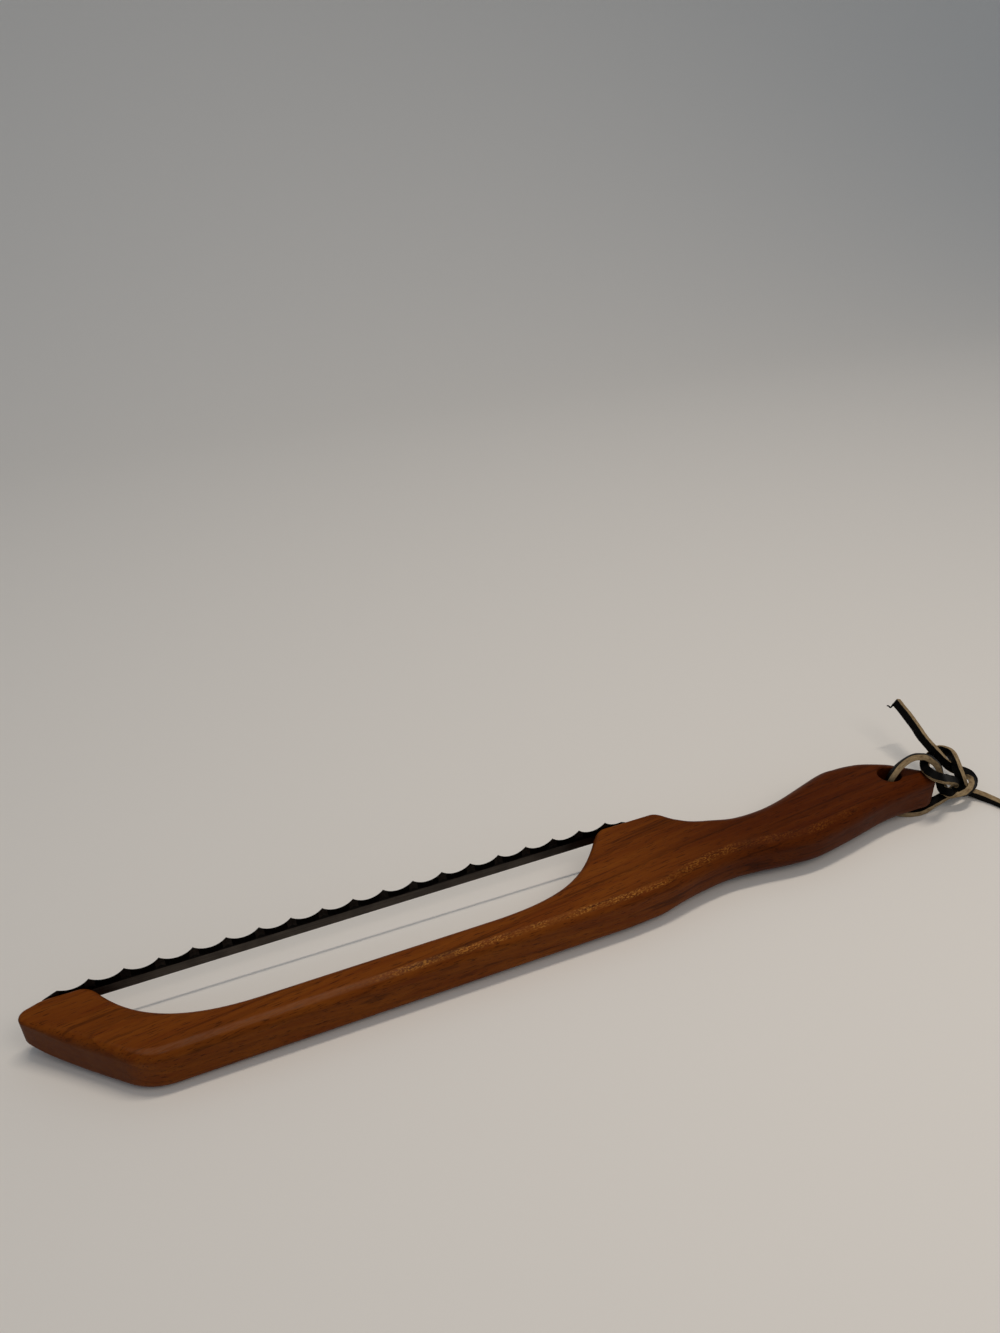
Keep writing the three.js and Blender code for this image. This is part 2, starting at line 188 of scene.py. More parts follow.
lowerRoute = [
    (0.0004, 0.0002, 0.0128), (0.0003, 0.0003, 0.011), (-0.0005, 0.0009, 0.0084),
    (-0.0007, 0.0008, 0.0058), (0.0009, -0.0007, 0.0032), (0.0038, -0.0032, 0.0018),
    (0.008, -0.0064, 0.0015), (0.0135, -0.008, 0.0015), (0.0182, -0.0081, 0.0016),
    (0.0228, -0.0078, 0.0032), (0.027, -0.0078, 0.0044), (0.031, -0.0074, 0.005),
    (0.0348, -0.0068, 0.0052), (0.0376, -0.0063, 0.0062), (0.0383, -0.0061, 0.0084),
    (0.0363, -0.0062, 0.0108), (0.0311, -0.0079, 0.0143), (0.0239, -0.0109, 0.0193),
    (0.0176, -0.0131, 0.0234), (0.0153, -0.0114, 0.0243), (0.0151, -0.0085, 0.0244),
    (0.016, -0.005, 0.0244), (0.0189, -0.0017, 0.0244), (0.0237, 0.0023, 0.0215),
    (0.0345, 0.0103, 0.0145), (0.0415, 0.0145, 0.012), (0.0456, 0.0164, 0.0116),
    (0.0486, 0.0166, 0.0113), (0.0504, 0.0147, 0.0113), (0.0502, 0.0118, 0.0117),
    (0.0488, 0.0089, 0.0122), (0.0469, 0.006, 0.0128), (0.0447, 0.0029, 0.0132),
    (0.0422, -0.0012, 0.0129), (0.0415, -0.0045, 0.0107), (0.0423, -0.006, 0.0072),
    (0.0438, -0.0073, 0.0046), (0.0456, -0.0088, 0.0034), (0.0475, -0.0104, 0.0028),
    (0.0496, -0.013, 0.0023), (0.0518, -0.0166, 0.0018), (0.0534, -0.0202, 0.0016),
    (0.0568, -0.03, 0.0016)]
lowerTan = {
    0: 21, 6: 35, 7: 43, 8: 46, 9: 60, 11: 62, 13: -60, 14: -28, 15: -36, 16: -48, 17: -55, 18: -62,
    19: -70, 20: -84, 22: 90, 25: -72, 28: -68, 30: -50, 33: -50, 38: -38, 42: -38}


def throughPoints(points, perPoint):  # a smooth curve through the points, closer knots where they crowd
    ends = [2 * points[0] - points[1], *points, 2 * points[-1] - points[-2]]
    curve = []
    for p0, p1, p2, p3 in zip(ends, ends[1:], ends[2:], ends[3:]):
        d0, d1, d2 = ((b - a).length ** 0.5 for a, b in ((p0, p1), (p1, p2), (p2, p3)))
        t1 = d1 * ((p1 - p0) / d0 - (p2 - p0) / (d0 + d1) + (p2 - p1) / d1)
        t2 = d1 * ((p2 - p1) / d1 - (p3 - p1) / (d1 + d2) + (p3 - p2) / d2)
        for k in range(perPoint):
            t = k / perPoint
            curve.append(p1 * (2 * t**3 - 3 * t**2 + 1) + t1 * (t**3 - 2 * t**2 + t)
                         + p2 * (3 * t**2 - 2 * t**3) + t2 * (t**3 - t**2))
    return curve + [points[-1]]


def laceSection(look):  # around the strip: out to the tan side, out to the black face, share of tan cut
    halfWidth, halfThick, corner = look["width"] / 2, look["thickness"] / 2, look["corner"]
    section = []
    for quarter in range(4):
        flat = (halfWidth - corner, halfThick - corner)
        signs = ((1, 1), (-1, 1), (-1, -1), (1, -1))[quarter]
        for k in range(5):
            turn = math.radians(90 * quarter + 22.5 * k)
            section.append((signs[0] * flat[0] + corner * math.cos(turn),
                            signs[1] * flat[1] + corner * math.sin(turn), abs(math.cos(turn)) ** 2))
        turn = math.radians(90 * quarter + 90)  # the middle of the next face, a little crowned
        section.append(((halfWidth + look["crown"]) * round(math.cos(turn)),
                        (halfThick + look["crown"]) * round(math.sin(turn)), abs(math.cos(turn)) ** 2))
    return section


def tanDirections(centres, tangents, turns, look):  # the twist is eased between the turns
    carried = [Vector((0, -1, 0))]
    for a, b in zip(tangents, tangents[1:]):
        carried.append(a.rotation_difference(b) @ carried[-1])
    carried = [(c - t * c.dot(t)).normalized() for c, t in zip(carried, tangents)]
    stops = []
    for point, turned in turns.items():
        ring = min(point * look["ringsPerPoint"], len(centres) - 1)
        side, along, front = carried[ring], tangents[ring], Vector(look["front"])
        front = (front - along * front.dot(along)).normalized()
        facing = Matrix.Rotation(math.radians(turned), 3, along) @ front
        twist = math.atan2(facing.dot(along.cross(side)), facing.dot(side))
        if stops:  # the two tan sides are alike, so the nearer one serves
            twist -= math.pi * round((twist - stops[-1][1]) / math.pi)
        stops.append((ring, twist))
    directions = []
    for (ring, twist), (nextRing, nextTwist) in zip(stops, stops[1:]):
        for k in range(ring, nextRing):
            share = (k - ring) / (nextRing - ring)
            share = share * share * (3 - 2 * share)
            turn = Matrix.Rotation(twist + (nextTwist - twist) * share, 3, tangents[k])
            directions.append(turn @ carried[k])
    return directions + [Matrix.Rotation(stops[-1][1], 3, tangents[-1]) @ carried[-1]]


def frayedFibre(name, tip, look, material):  # thins out along its run
    centres = throughPoints([tip + Vector(p) * mm for p in look["frayed"]], 4)
    verts, sides = [], 6
    for k, (a, b) in enumerate(zip([centres[0], *centres], [*centres[1:], centres[-1]])):
        radius = look["frayedWidth"] / 2 * (1 - look["frayedTaper"] * k / len(centres))
        across = (b - a).cross(Vector((0, 0, 1))).normalized() * radius
        verts += [centres[k] + Matrix.Rotation(2 * math.pi * i / sides, 3, (b - a).normalized()) @ across
                  for i in range(sides)]
    fibre = newPiece(name, verts, ringFaces(len(centres), sides), material)
    smoothShade(fibre, sharpAngle=50)
    return fibre


def laceStrip(name, route, turns, look, material):
    centres = throughPoints([holeFoot + Vector(p) for p in route], look["ringsPerPoint"])
    before, after = [centres[0], *centres], [*centres[1:], centres[-1]]
    tangents = [(b - a).normalized() for a, b in zip(before, after)]
    section = laceSection(look)
    count = len(section)
    verts, cut, runs, along = [], [], [], 0
    for k, (centre, tangent, side) in enumerate(
            zip(centres, tangents, tanDirections(centres, tangents, turns, look))):
        along += (centre - centres[max(k - 1, 0)]).length
        pull = 1 + sum(share * math.sin(along / mm * rate + start)
                       for share, rate, start in look["unevenCut"])
        for i, (out, up, tanShare) in enumerate(section):
            vert = centre + side * out * pull + tangent.cross(side) * up
            vert.z = max(vert.z, look["tableGap"])  # pressed flat where it lies on the table
            verts.append(vert)
            cut.append(tanShare)
            runs.append((i / count, along))
    faces = ringFaces(len(centres), count, closed=False)
    for ring, flip in ((0, True), (len(centres) - 1, False)):  # cut ends, their rim a little worn
        rim = len(verts)
        for i in range(count):
            verts.append(centres[ring] + (verts[ring * count + i] - centres[ring]) * look["endWear"]
                         + tangents[ring] * (-look["endBulge"] if flip else look["endBulge"]))
            cut.append(1.0)
            runs.append(runs[ring * count + i])
        for i in range(count):
            j = (i + 1) % count
            quad = (ring * count + i, ring * count + j, rim + j, rim + i)
            faces.append(quad[::-1] if flip else quad)
        faces.append(tuple(range(rim, rim + count))[::-1 if flip else 1])
    strip = newPiece(name, verts, faces, material)
    attribute = strip.data.attributes.new("tanCut", "FLOAT", "POINT")
    attribute.data.foreach_set("value", cut)
    layer = strip.data.uv_layers.new(name="laceRun")  # around the strip, and metres along it
    for loop in strip.data.loops:
        layer.data[loop.index].uv = runs[loop.vertex_index]
    smoothShade(strip, sharpAngle=50)
    return strip


# Dyed vegetable tanned leather, cut square: a matt black grain that shines a little on its high spots,
# and raw sides where the tan fibres show, with the dye bleeding over the edges
def dyedLeatherCutTan(look):
    material, shader = newMaterial("dyedLeatherCutTan")
    share = addNode(material, "ShaderNodeAttribute", {"attribute_name": "tanCut"})
    place = addNode(material, "ShaderNodeTexCoord").outputs["Object"]
    run = addNode(material, "ShaderNodeUVMap", {"uv_map": "laceRun"})
    grain = addNode(material, "ShaderNodeTexVoronoi",
                    {"Scale": 1000 / look["grainSize"], "Randomness": 0.9}, {"Vector": place})
    bleed = addNode(material, "ShaderNodeTexNoise", {"Scale": 1000 / look["bleedSize"], "Detail": 3.0},
                    {"Vector": place})
    stretched = addNode(material, "ShaderNodeMapping",
                        {"Scale": (look["fibresAround"], look["fibresPerMetre"], 1)},
                        {"Vector": run.outputs["UV"]})
    fibres = addNode(material, "ShaderNodeTexNoise", {"Scale": 1.0, "Detail": 4.0, "Roughness": 0.65},
                     {"Vector": stretched.outputs["Vector"]})
    edge = addNode(material, "ShaderNodeMath", {"operation": "MULTIPLY_ADD", 1: 0.5, 2: -0.25},
                   {0: bleed.outputs["Fac"]})
    ragged = addNode(material, "ShaderNodeMath", {"operation": "ADD"},
                     {0: share.outputs["Fac"], 1: edge.outputs["Value"]})
    bare = addNode(material, "ShaderNodeMapRange", {**eased, "From Min": 0.36, "From Max": 0.62},
                   {"Value": ragged.outputs["Value"]})
    dye = addNode(material, "ShaderNodeValToRGB",
                  {"stops": [(0.25, linear(look["wornDye"])), (0.6, linear(look["blackDye"]))]},
                  {"Fac": grain.outputs["Distance"]})
    raw = addNode(material, "ShaderNodeValToRGB",
                  {"stops": [(0.3, linear(look["tanDeep"])), (0.62, linear(look["tanCut"]))]},
                  {"Fac": fibres.outputs["Fac"]})
    colour = addNode(material, "ShaderNodeMix", {"data_type": "RGBA"},
                     {0: bare.outputs["Result"], 6: dye.outputs["Color"], 7: raw.outputs["Color"]})
    dull = addNode(material, "ShaderNodeMapRange", {"To Min": 0.58, "To Max": 0.85},
                   {"Value": bare.outputs["Result"]})
    relief = addNode(material, "ShaderNodeMix", {},
                     {0: bare.outputs["Result"], 2: grain.outputs["Distance"], 3: fibres.outputs["Fac"]})
    bump = addNode(material, "ShaderNodeBump", {"Strength": 0.6, "Distance": 0.12 * mm},
                   {"Height": relief.outputs[0]})
    connect(material, shader, {"Base Color": colour.outputs[2], "Roughness": dull.outputs["Result"],
                               "Normal": bump.outputs["Normal"]})
    shader.inputs["Specular IOR Level"].default_value = 0.06
    return material


leather = dyedLeatherCutTan(laceLook)
fibre = frayedFibre("frayedFibre", holeFoot + Vector(upperRoute[-1]), laceLook, leather)
upperLace = laceStrip("upperLace", upperRoute, upperTan, laceLook, leather)
lowerLace = laceStrip("lowerLace", lowerRoute, lowerTan, laceLook, leather)
for piece in (fibre, upperLace, lowerLace):
    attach(piece, "lace")
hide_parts("lace_upper")
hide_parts("lace_lower")
print("lace tied:", len(upperLace.data.vertices) + len(lowerLace.data.vertices), "points")

# Board: sawn from one plank, its edges rounded by hand (mm)
board = {
    "thickness": 19, "span": 210.8, "depth": 43.4, "barWidth": 14, "frontLand": 33.5, "rearLand": 28.7,
    "handle": 135, "noseFlat": 17,
    "frontSlant": 42.1, "frontEntry": 57, "rearEntry": 53,  # degrees
    "shoulderSlant": 38.5, "noseSlant": 22,  # degrees
    "noseCorner": 3.9, "noseTopCorner": 12, "backCorner": 24, "landCorner": 8, "shoulderCorner": 6,
    "entryStraight": 4.5, "shoulderStraight": 10,
    "frontSweep": 58, "rearSweep": 62, "frontArms": (17.5, 32), "rearArms": (24, 33),
    "landRound": 1.4, "noseRound": 2.2, "entryRound": 3.4, "frontRound": 4.5, "barRound": 4.5,
    "handleRound": 6.5, "endRound": 3.6, "roundSteps": 9,
    # the underside curves up to the nose, measured from the front's sharp corner
    "reliefStart": 37, "reliefRadius": 54, "reliefStep": 2, "reliefCuts": 16,
    # behind the rear land, and in from the back of the bar or from the lands
    "nearSide": [(-33, 0), (-14, 1.4), (2.5, 4.4), (18.5, 6.1), (33.5, 5), (48.5, 3), (62.5, 2.4)],
    "farSide": [(56.5, 12.5), (40.5, 14.6), (26.5, 13.4), (14, 10)],
    # in from the handle's end, and in from the lands
    "endCurve": [(53.5, 38.2), (32.5, 34.2), (19, 32.7), (9.6, 32.2), (4.2, 31.8), (1, 30.1), (0, 27.2),
                 (1.3, 24), (5.2, 19.7), (9.9, 15.5), (14.8, 11.2), (25, 6.2), (32.5, 4.4), (40.5, 3.8),
                 (50.5, 4.5)],
    "hole": 10.7, "holeFromEnd": 21, "holeFromLands": 21, "holeRim": 0.9, "holeSides": 96,
}
sliver = 0.002  # mm, points closer than this are one
shoulderX = board["span"] + board["rearLand"]
handleEndX = shoulderX + board["handle"]
holeAt = Vector((handleEndX - board["holeFromEnd"], -board["holeFromLands"], 0))


def downwards(angle, side=1):
    return Vector((side * math.cos(math.radians(angle)), -math.sin(math.radians(angle))))


def cornerArc(a, corner, b, radius, count=14):
    toA, toB = (a - corner).normalized(), (b - corner).normalized()
    half = toA.angle(toB) / 2
    centre = corner + (toA + toB).normalized() * radius / math.sin(half)
    start = corner + toA * radius / math.tan(half) - centre
    end = corner + toB * radius / math.tan(half) - centre
    turn = math.copysign(math.pi - 2 * half, start.cross(end))
    return [centre + Matrix.Rotation(turn * k / count, 2) @ start for k in range(count + 1)]


def straight(a, b, count=6):
    return [a.lerp(b, k / count) for k in range(count + 1)]


def bend(a, b, c, d, count=48):
    return [a * (1 - t)**3 + 3 * b * t * (1 - t)**2 + 3 * c * t**2 * (1 - t) + d * t**3
            for t in (k / count for k in range(count + 1))]


def even(points, perPoint=9):  # an even spline through the points
    ends = [points[0], *points, points[-1]]
    curve = []
    for p0, p1, p2, p3 in zip(ends, ends[1:], ends[2:], ends[3:]):
        for k in range(perPoint):
            t = k / perPoint
            curve.append(p1 + (p2 - p0) * t / 2 + (p0 - 2.5 * p1 + 2 * p2 - p3 / 2) * t**2
                         + (1.5 * p1 - p0 / 2 - 1.5 * p2 + p3 / 2) * t**3)
    return curve + [points[-1]]


def edgeRadii(run, radii):  # the radius of the rounded edge, from stop to stop along a run
    lengths = [0.0]
    for a, b in zip(run, run[1:]):
        lengths.append(lengths[-1] + (b - a).length)
    found = []
    for length in lengths:
        along = min(length / lengths[-1] * (len(radii) - 1), len(radii) - 1.001)
        stop, share = int(along), along - int(along)
        share = share * share * (3 - 2 * share)
        found.append(radii[stop] + (radii[stop + 1] - radii[stop]) * share)
    return found


def boardOutline(b):
    land, nosing, entry, bar, handle, end = (
        b[k + "Round"] for k in ("land", "nose", "entry", "bar", "handle", "end"))
    noseTop = Vector((-b["noseFlat"], 0))
    slant, slope = math.radians(b["frontSlant"]), math.radians(b["noseSlant"])
    nose = noseTop + (downwards(b["noseSlant"], -1) * (b["frontLand"] - b["noseFlat"])
                      * math.sin(slant) / math.sin(slant + slope))
    back = Vector((b["depth"] / math.tan(slant) - b["frontLand"], -b["depth"]))
    near = [Vector((shoulderX + x, inset - b["depth"])) for x, inset in b["nearSide"]]
    swell = [Vector((handleEndX - x, -inset)) for x, inset in b["endCurve"]]
    far = [Vector((shoulderX + x, -inset)) for x, inset in b["farSide"]]
    shoulder, rearLand, frontLand = Vector((shoulderX, 0)), Vector((b["span"], 0)), Vector((0, 0))
    shoulderFoot = shoulder + downwards(b["shoulderSlant"]) * b["shoulderStraight"]
    rearFoot = rearLand + downwards(b["rearEntry"], -1) * b["entryStraight"]
    frontFoot = frontLand + downwards(b["frontEntry"]) * b["entryStraight"]
    inner = b["barWidth"] - b["depth"]
    noseTopArc = cornerArc(frontLand, noseTop, nose, b["noseTopCorner"], 8)
    noseArc = cornerArc(noseTop, nose, back, b["noseCorner"])
    backArc = cornerArc(nose, back, near[0], b["backCorner"], 24)
    shoulderArc = cornerArc(shoulderFoot, shoulder, rearLand, b["shoulderCorner"])
    rearArc = cornerArc(shoulder, rearLand, rearFoot, b["landCorner"])
    frontArc = cornerArc(frontFoot, frontLand, noseTop, b["landCorner"])
    rearCurve = bend(rearFoot, rearFoot + downwards(b["rearEntry"], -1) * b["rearArms"][0],
                     Vector((b["span"] - b["rearSweep"] + b["rearArms"][1], inner)),
                     Vector((b["span"] - b["rearSweep"], inner)))
    frontCurve = bend(Vector((b["frontSweep"], inner)),
                      Vector((b["frontSweep"] - b["frontArms"][1], inner)),
                      frontFoot + downwards(b["frontEntry"]) * b["frontArms"][0], frontFoot)
    runs = [
        (noseArc, (nosing, nosing)),
        (straight(noseArc[-1], backArc[0], 24), (nosing, b["frontRound"], b["frontRound"])),
        (backArc, (b["frontRound"], bar)),
        (straight(backArc[-1], near[0], 30), (bar, bar)),
        (even([*near, *swell, *far, shoulderFoot]),
         (bar, bar, *[handle] * 10, (handle + end) / 2, end, *[handle] * 9, bar, entry)),
        (straight(shoulderFoot, shoulderArc[0]), (entry, land)),
        (shoulderArc, (land, land)),
        (straight(shoulderArc[-1], rearArc[0]), (land, land)),
        (rearArc, (land, entry)),
        (straight(rearArc[-1], rearFoot, 3), (entry, entry)),
        (rearCurve, (entry, bar)),
        (straight(rearCurve[-1], frontCurve[0], 16), (bar, bar)),
        (frontCurve, (bar, entry)),
        (straight(frontFoot, frontArc[0], 3), (entry, entry)),
        (frontArc, (entry, nosing)),
        (straight(frontArc[-1], noseTopArc[0]), (nosing, nosing)),
        (noseTopArc, (nosing, nosing)),
        (straight(noseTopArc[-1], noseArc[0], 4), (nosing, nosing)),
    ]
    points, radii = [], []
    for run, stops in runs:
        points += run[:-1]
        radii += edgeRadii(run, stops)[:-1]
    return points, radii


def roundedBoard(points, radii, thickness, steps):
    count = len(points)
    inward = []
    for i in range(count):
        along = (points[(i + 1) % count] - points[i - 1]).normalized()
        inward.append(Vector((-along.y, along.x)))
    quarter = [math.pi / 2 * k / steps for k in range(steps + 1)]
    verts = []
    for turn, upper in [(t, False) for t in quarter[::-1]] + [(t, True) for t in quarter]:
        for point, radius, inset in zip(points, radii, inward):
            at = point + inset * radius * (1 - math.cos(turn))
            depth = radius * (1 - math.sin(turn))
            verts.append(Vector((at.x, at.y, thickness - depth if upper else depth)))
    return verts, ringFaces(2 * len(quarter), count)


def relieveNose(piece, b):  # lifts the underside of the nose in a curve
    corner = Vector((-b["frontLand"], 0, 0))
    along = Vector((*downwards(b["frontSlant"] / 2), 0))
    form = bmesh.new()
    form.from_mesh(piece.data)
    for k in range(b["reliefCuts"]):
        cut = corner + along * (b["reliefStart"] - b["reliefStep"] * k)
        bmesh.ops.bisect_plane(form, geom=[*form.verts, *form.edges, *form.faces], dist=sliver,
                               plane_co=cut, plane_no=along)
    for vert in form.verts:
        past = b["reliefStart"] - (vert.co - corner).dot(along)
        if past > 0:
            rise = b["reliefRadius"] - math.sqrt(b["reliefRadius"]**2 - past**2)
            vert.co.z += rise * (1 - vert.co.z / b["thickness"])
    form.to_mesh(piece.data)
    form.free()


def turnedForm(profile, segments, place):  # a profile of radius and height, from the bottom up, about Z
    verts = []
    for radius, height in profile:
        verts += [place + Vector((radius * math.cos(2 * math.pi * i / segments),
                                  radius * math.sin(2 * math.pi * i / segments), height))
                  for i in range(segments)]
    return verts, ringFaces(len(profile), segments)


def cutAway(piece, cutters):  # cuts the cutters out of a piece, for good
    for cutter in cutters:
        cutting = piece.modifiers.new("cutting", "BOOLEAN")
        cutting.operation, cutting.solver, cutting.object = "DIFFERENCE", "EXACT", cutter
    whole = piece.data
    evaluated = piece.evaluated_get(bpy.context.evaluated_depsgraph_get())
    piece.data = bpy.data.meshes.new_from_object(evaluated)
    piece.modifiers.clear()
    bpy.data.meshes.remove(whole)
    form = bmesh.new()
    form.from_mesh(piece.data)
    bmesh.ops.remove_doubles(form, verts=form.verts, dist=sliver)  # what the cut leaves at its rim
    bmesh.ops.dissolve_degenerate(form, edges=form.edges, dist=sliver)
    form.to_mesh(piece.data)
    form.free()
    for cutter in cutters:
        bpy.data.meshes.remove(cutter.data)


def holeProfile(b):  # straight, with a broken edge at each face
    radius, rim, past = b["hole"] / 2, b["holeRim"], 1
    turns = [math.pi / 2 * k / 6 for k in range(7)]
    lower = [(radius + rim * (1 - math.sin(t)), rim * (1 - math.cos(t))) for t in turns]
    upper = [(r, b["thickness"] - z) for r, z in reversed(lower)]
    return [(radius + rim, -past), *lower, *upper, (radius + rim, b["thickness"] + past)]


# Oiled cherry, sanded: a warm orange brown with fine dark lines along the plank, redder and darker at
# the handle (partly the wood's own tone, partly painted shade), painted golden glints on the rounded
# upper edge where sanding scratches catch the light, a painted pale sheen on that edge's front, and a low
# satin shine
cherry = {
    "deep": "#652e08", "light": "#783f0e", "line": "#260c02", "fleck": "#b87a30", "endGrain": "#4c230c",
    # a painted pale sheen for the front of the upper edge, then the tone from the nose to the handle's
    # end, whose darkening is partly painted shade
    "paintedSheen": "#8a5c40", "front": "#ffffff", "rear": "#b8a48e",  # tone from the nose to the handle's end
    "grainTurn": 6,  # degrees between the grain and the blade
    "ringSpacing": 5.5,  # mm between growth rings
    "heart": (-150, 34, -66),  # mm, where the tree's middle was
    "wander": 5, "swayWidth": 45, "swayLength": 150,  # mm that the rings wander, and over what size
    "poreWidth": 0.48, "poreLength": 5.5,  # mm, real pores are under 0.1 wide and wouldn't show
    "streakWidth": 3.2, "streakLength": 60,  # mm
    "veinWidth": 2.4, "veinLength": 150,  # mm
    "fleckWidth": 0.5, "fleckLength": 1.0, "fleckPatch": 9,  # mm
    "sandingSize": 11,  # mm, hollows left by sanding by hand
    # the painted glints and sheen go where the upper edge faces this way, halfway between the lamp and
    # the camera
    "highlightFacing": (0, -0.46, 0.88),  # the way that the flecked edge faces
    # where along the edge the painted glints and the painted sheen lie, from 0.2 m before the middle to
    # 0.2 m behind it
    "paintedGlintsAlong": [(0.27, 0), (0.35, 1), (0.72, 1), (0.83, 0.6), (0.92, 0)],
    "paintedSheenAlong": [(0.02, 0), (0.1, 1), (0.27, 1), (0.4, 0)],
}


def oiledCherrySanded(c):
    material, shader = newMaterial("oiledCherrySanded")
    place = addNode(material, "ShaderNodeTexCoord").outputs["Object"]
    grain = addNode(material, "ShaderNodeMapping", {"Rotation": (0, 0, -math.radians(c["grainTurn"]))},
                    {"Vector": place}).outputs["Vector"]

    swayPlace = addNode(material, "ShaderNodeMapping",
                        {"Scale": (c["swayWidth"] / c["swayLength"], 1, 1)}, {"Vector": grain})
    sway = addNode(material, "ShaderNodeTexNoise", {"Scale": 1000 / c["swayWidth"], "Detail": 2.0},
                   {"Vector": swayPlace.outputs["Vector"]})
    centred = addNode(material, "ShaderNodeVectorMath", {"operation": "SUBTRACT", 1: (0.5, 0.5, 0.5)},
                      {0: sway.outputs["Color"]})
    wandering = addNode(material, "ShaderNodeVectorMath",
                        {"operation": "SCALE", "Scale": c["wander"] * mm},
                        {0: centred.outputs["Vector"]})
    wandered = addNode(material, "ShaderNodeVectorMath", {"operation": "ADD"},
                       {0: grain, 1: wandering.outputs["Vector"]}).outputs["Vector"]
    fromHeart = addNode(material, "ShaderNodeMapping", {"Location": [-v * mm for v in c["heart"]]},
                        {"Vector": wandered})
    rings = addNode(material, "ShaderNodeTexWave",
                    {"wave_type": "RINGS", "rings_direction": "X", "wave_profile": "SAW",
                     "Scale": math.pi / 10 / (c["ringSpacing"] * mm), "Distortion": 1.2, "Detail": 2.0,
                     "Detail Scale": 1.5},
                    {"Vector": fromHeart.outputs["Vector"]})
    lateWood = addNode(material, "ShaderNodeMapRange",
                       {**eased, "From Min": 0.7, "From Max": 1.0, "To Max": 0.22},
                       {"Value": rings.outputs["Fac"]})

    drawnOut = {}  # noises stretched along the grain
    for pattern, source, settings in (("streak", wandered, {"Detail": 5.0, "Roughness": 0.62}),
                                      ("pore", wandered, {"Detail": 2.0, "Roughness": 0.5}),
                                      ("fleck", grain, {"Detail": 2.0}),
                                      ("vein", wandered, {"Detail": 1.0})):
        width, length = c[pattern + "Width"], c[pattern + "Length"]
        squeezed = addNode(material, "ShaderNodeMapping", {"Scale": (width / length, 1, 1)},
                           {"Vector": source})
        drawnOut[pattern] = addNode(material, "ShaderNodeTexNoise", {"Scale": 1000 / width, **settings},
                                    {"Vector": squeezed.outputs["Vector"]}).outputs["Fac"]
    openPores = addNode(material, "ShaderNodeMapRange",
                        {**eased, "From Min": 0.55, "From Max": 0.7, "To Max": 0.6},
                        {"Value": drawnOut["pore"]})
    # spots of the fleck pattern that get the painted golden glint
    glintSpots = addNode(material, "ShaderNodeMapRange",
                        {**eased, "From Min": 0.44, "From Max": 0.66, "To Max": 0.62},
                        {"Value": drawnOut["fleck"]})
    darkVeins = addNode(material, "ShaderNodeMapRange",
                        {**eased, "From Min": 0.62, "From Max": 0.72, "To Max": 0.42},
                        {"Value": drawnOut["vein"]})

    along = addNode(material, "ShaderNodeSeparateXYZ", {}, {"Vector": place})
    run = addNode(material, "ShaderNodeMapRange", {"From Min": -0.2, "From Max": 0.2},
                  {"Value": along.outputs["X"]})
    normal = addNode(material, "ShaderNodeNewGeometry").outputs["Normal"]
    # the part of the upper edge that faces the highlight, where the glints and the sheen are painted
    edgeOn = addNode(material, "ShaderNodeVectorMath",
                     {"operation": "DOT_PRODUCT", 1: c["highlightFacing"]}, {0: normal})
    facesHighlight = addNode(material, "ShaderNodeMapRange", {**eased, "From Min": 0.925, "From Max": 0.985},
                     {"Value": edgeOn.outputs["Value"]})
    patches = addNode(material, "ShaderNodeTexNoise", {"Scale": 1000 / c["fleckPatch"], "Detail": 2.0},
                      {"Vector": grain})
    patchy = addNode(material, "ShaderNodeMapRange",
                     {**eased, "From Min": 0.36, "From Max": 0.62, "To Min": 0.3},
                     {"Value": patches.outputs["Fac"]})
    # the painted golden glints and the painted pale sheen both start from the edge that faces the
    # highlight
    paintedGlints, paintedSheen = glintSpots, facesHighlight
    for share in (facesHighlight, patchy):
        paintedGlints = addNode(material, "ShaderNodeMath", {"operation": "MULTIPLY"},
                               {0: paintedGlints.outputs[0], 1: share.outputs["Result"]})
    edgeStops = {}
    for key, strength in (("paintedGlintsAlong", 1.0), ("paintedSheenAlong", 0.4)):
        edgeStops[key] = addNode(
            material, "ShaderNodeValToRGB",
            {"stops": [(stop, [share * strength] * 3 + [1.0]) for stop, share in c[key]]},
            {"Fac": run.outputs["Result"]})
    paintedGlints = addNode(material, "ShaderNodeMath", {"operation": "MULTIPLY"},
                           {0: paintedGlints.outputs[0], 1: edgeStops["paintedGlintsAlong"].outputs["Color"]})
    # painted pale sheen: the edge that faces the highlight, broken by fine lines, over the front stretch
    # of the edge
    fineLines = addNode(material, "ShaderNodeMapRange",
                        {"From Min": 0.35, "From Max": 0.62, "To Min": 0.35}, {"Value": drawnOut["pore"]})
    for share in (fineLines.outputs["Result"], edgeStops["paintedSheenAlong"].outputs["Color"]):
        paintedSheen = addNode(material, "ShaderNodeMath", {"operation": "MULTIPLY"},
                         {0: paintedSheen.outputs[0], 1: share})
    facingX = addNode(material, "ShaderNodeVectorMath",
                      {"operation": "DOT_PRODUCT", 1: (1, 0, 0)}, {0: normal})
    endOn = addNode(material, "ShaderNodeMath", {"operation": "ABSOLUTE"}, {0: facingX.outputs["Value"]})
    endGrain = addNode(material, "ShaderNodeMapRange",
                       {**eased, "From Min": 0.4, "From Max": 0.8, "To Max": 0.7},
                       {"Value": endOn.outputs["Value"]})

